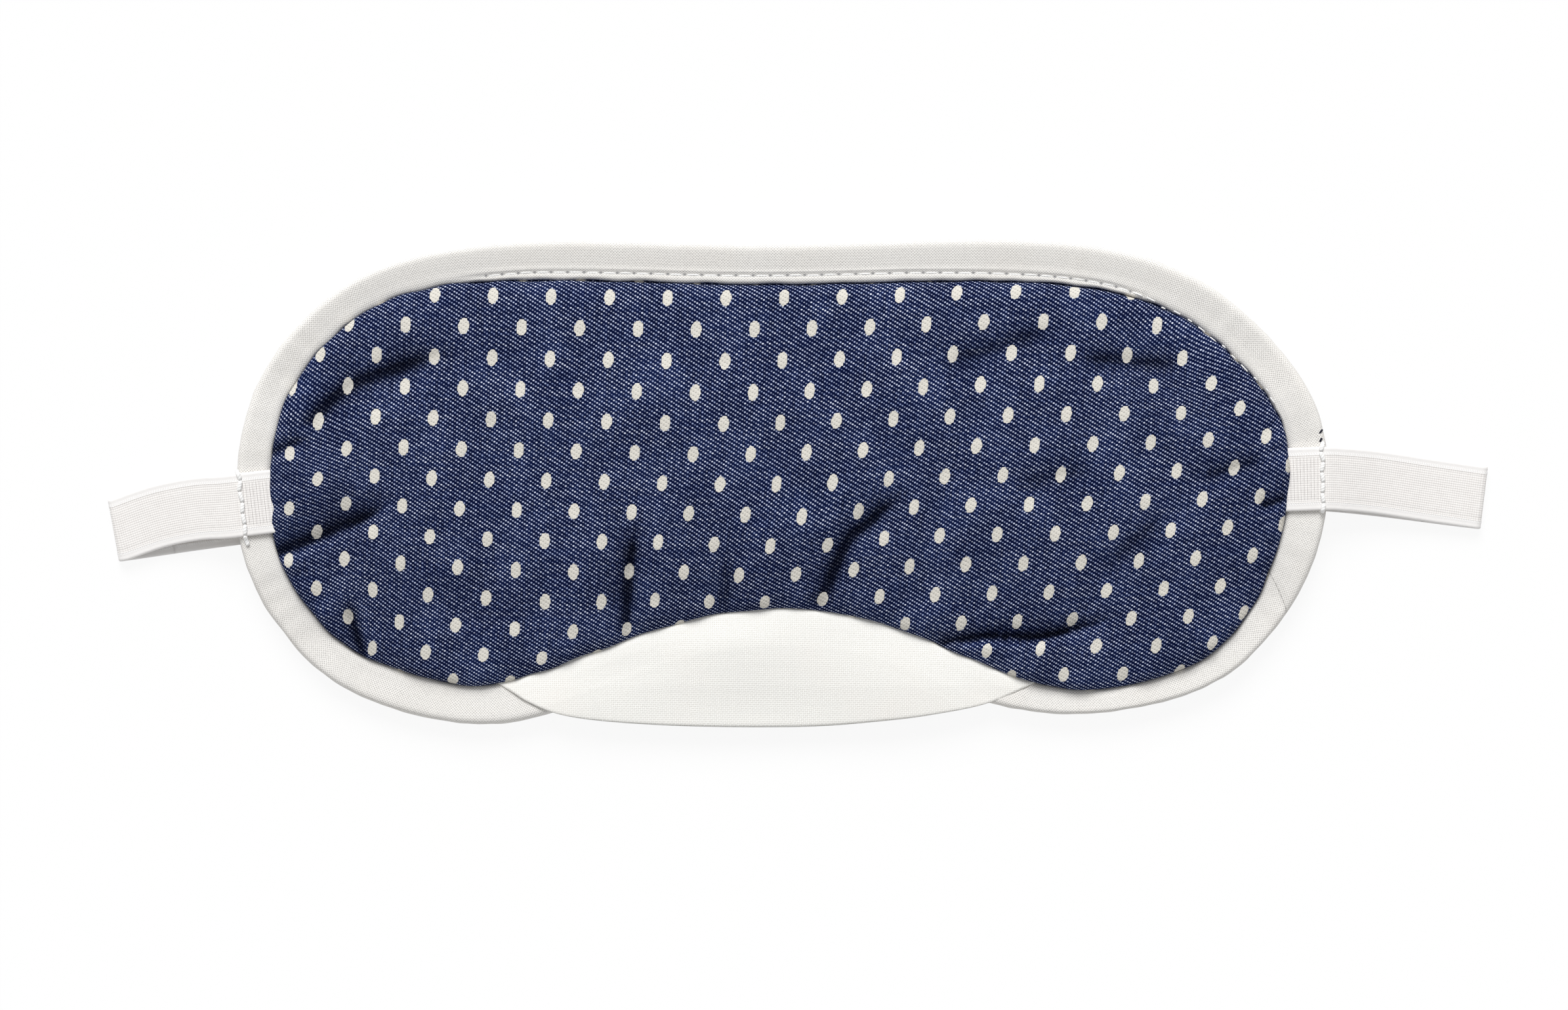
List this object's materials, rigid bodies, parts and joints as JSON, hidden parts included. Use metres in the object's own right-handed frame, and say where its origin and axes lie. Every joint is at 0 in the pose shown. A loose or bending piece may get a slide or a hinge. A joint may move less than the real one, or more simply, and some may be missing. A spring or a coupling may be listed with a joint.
{
  "type": "padded sleep mask",
  "caption": "Two-lobed padded sleep mask with dotted navy front, white bound edge, fold-out nose flap and an elastic head strap that lies folded behind it.",
  "frame": {"origin": "centre of the outline on the ground, under the strap's back run", "axes": "+X along the strap towards the right end in the picture, +Y towards the brow edge, +Z out of the front panel"},
  "size_m": [0.2614, 0.0923, 0.0096],
  "materials": {
    "dotted_twill": "matte navy twill with woven off-white dots",
    "wadding_fibre": "loose white fibre",
    "white_cotton": "matte plain-weave cotton",
    "binding_cotton": "matte plain-weave cotton cut on the bias",
    "woven_elastic": "ribbed woven elastic with raised edges",
    "sewing_thread": "twisted white thread"
  },
  "bodies": {
    "strap": {"head_strap": "woven_elastic"},
    "mask": {"front_panel": "dotted_twill", "wadding": "wadding_fibre", "lining": "white_cotton", "binding": "binding_cotton", "nose_flap_base": "white_cotton", "binding_topstitch": "sewing_thread", "strap_stitch_left": "sewing_thread", "strap_stitch_right": "sewing_thread"},
    "flap": {"nose_flap_lip": "white_cotton"}
  },
  "joints": [
    {"name": "strap_stretch", "type": "slide", "parent": "strap", "child": "mask", "axis": [0, 0, 1], "range_m": [0, 0.12], "stiffness_N_per_m": 20, "deforming": ["head_strap"]},
    {"name": "nose_flap_fold", "type": "hinge", "parent": "mask", "child": "flap", "pos_m": [-0.00485, -0.0384, 0.00585], "axis": [-1, 0, 0], "range_deg": [0, 150]}
  ]
}
